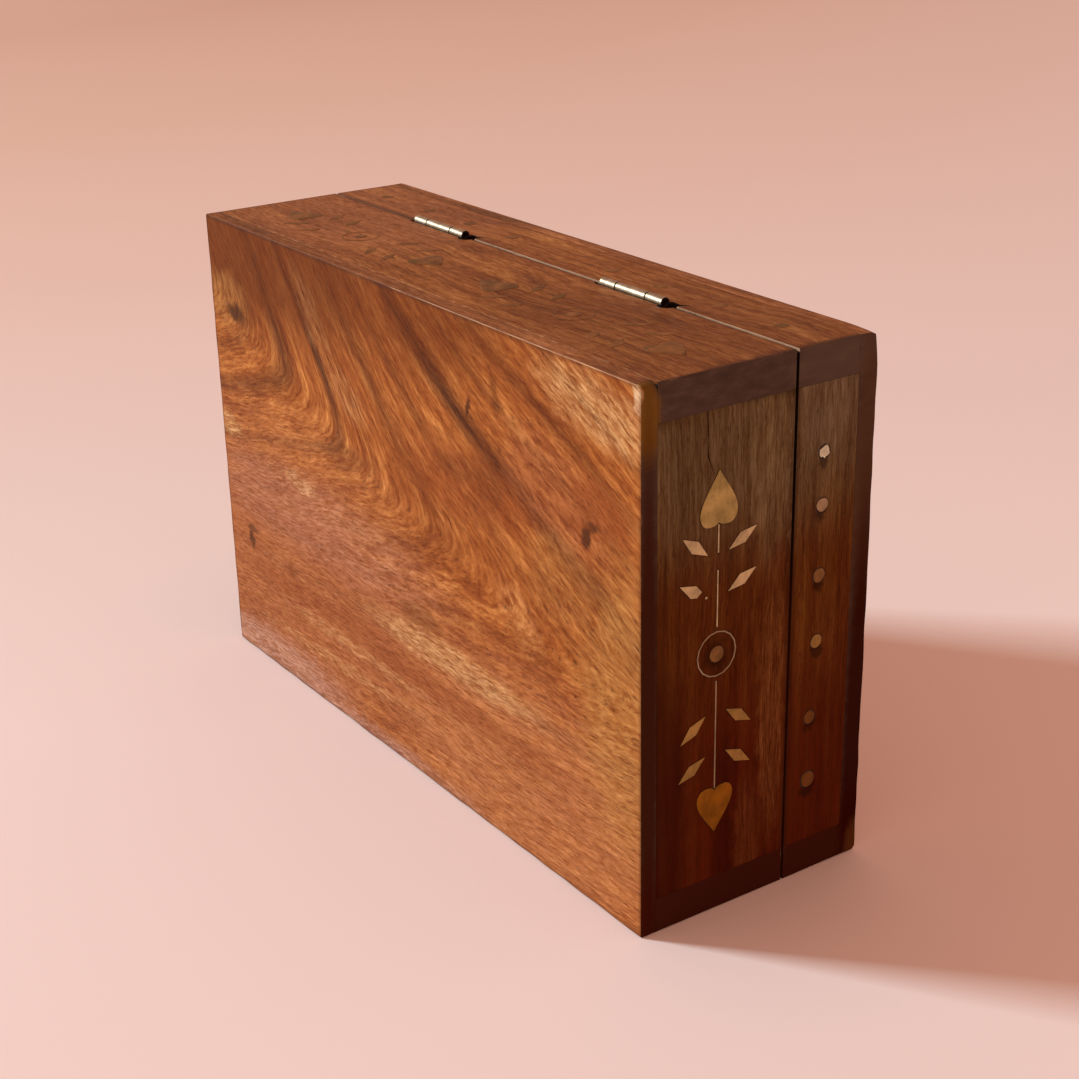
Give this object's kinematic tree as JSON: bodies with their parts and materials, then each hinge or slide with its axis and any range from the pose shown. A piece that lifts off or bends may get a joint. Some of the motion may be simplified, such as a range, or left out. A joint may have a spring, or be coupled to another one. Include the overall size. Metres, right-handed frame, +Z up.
{
  "type": "brass inlaid wooden box",
  "caption": "Flat rectangular hardwood box with a lid on butt hinges, and brass hearts, leaves, a ring and dots inlaid in its ends.",
  "frame": {"origin": "centre of the footprint, on the surface that the box stands on", "axes": "+X along the length, +Y from the bottom board towards the lid, +Z up from the front side to the hinged back side"},
  "size_m": [0.195, 0.0636, 0.1285],
  "materials": {
    "sheesham": "oiled and rubbed, red-brown with dark figure, pale where edges are worn",
    "dark_sheesham": "oiled, darker red-brown, with upright grain",
    "brass_inlay": "filed flush and dulled, with dark glue around each piece",
    "hinge_steel": "bright plated steel, rolled from sheet"
  },
  "bodies": {
    "base": {"base_bottom_board": "sheesham", "base_front_board": "sheesham", "base_back_board": "sheesham", "base_left_end_board": "dark_sheesham", "base_right_end_board": "dark_sheesham", "left_hinge_base_leaf": "hinge_steel", "left_hinge_pin": "hinge_steel", "right_hinge_base_leaf": "hinge_steel", "right_hinge_pin": "hinge_steel", "right_base_upper_heart": "brass_inlay", "right_base_upper_stem_1": "brass_inlay", "right_base_upper_stem_2": "brass_inlay", "right_base_upper_left_leaf_1": "brass_inlay", "right_base_upper_right_leaf_1": "brass_inlay", "right_base_upper_left_leaf_2": "brass_inlay", "right_base_upper_left_leaf_2_chip": "brass_inlay", "right_base_upper_right_leaf_2": "brass_inlay", "right_base_ring": "brass_inlay", "right_base_centre_disc": "brass_inlay", "right_base_lower_stem": "brass_inlay", "right_base_lower_left_leaf_1": "brass_inlay", "right_base_lower_right_leaf_1": "brass_inlay", "right_base_lower_left_leaf_2": "brass_inlay", "right_base_lower_right_leaf_2": "brass_inlay", "right_base_lower_heart": "brass_inlay", "left_base_upper_heart": "brass_inlay", "left_base_upper_stem": "brass_inlay", "left_base_upper_left_leaf_1": "brass_inlay", "left_base_upper_right_leaf_1": "brass_inlay", "left_base_upper_left_leaf_2": "brass_inlay", "left_base_upper_right_leaf_2": "brass_inlay", "left_base_ring": "brass_inlay", "left_base_centre_disc": "brass_inlay", "left_base_lower_stem": "brass_inlay", "left_base_lower_left_leaf_1": "brass_inlay", "left_base_lower_right_leaf_1": "brass_inlay", "left_base_lower_left_leaf_2": "brass_inlay", "left_base_lower_right_leaf_2": "brass_inlay", "left_base_lower_heart": "brass_inlay"},
    "lid": {"lid_top_board": "sheesham", "lid_front_board": "sheesham", "lid_back_board": "sheesham", "lid_left_end_board": "dark_sheesham", "lid_right_end_board": "dark_sheesham", "left_hinge_lid_leaf": "hinge_steel", "right_hinge_lid_leaf": "hinge_steel", "right_lid_dot_1": "brass_inlay", "right_lid_dot_2": "brass_inlay", "right_lid_dot_3": "brass_inlay", "right_lid_dot_4": "brass_inlay", "right_lid_dot_5": "brass_inlay", "right_lid_dot_6": "brass_inlay", "left_lid_dot_1": "brass_inlay", "left_lid_dot_2": "brass_inlay", "left_lid_dot_3": "brass_inlay", "left_lid_dot_4": "brass_inlay", "left_lid_dot_5": "brass_inlay", "left_lid_dot_6": "brass_inlay"}
  },
  "joints": [
    {"name": "lid_hinge", "type": "hinge", "parent": "base", "child": "lid", "pos_m": [0, 0.00885, 0.12725], "axis": [1, 0, 0], "range_deg": [0, 180]}
  ]
}
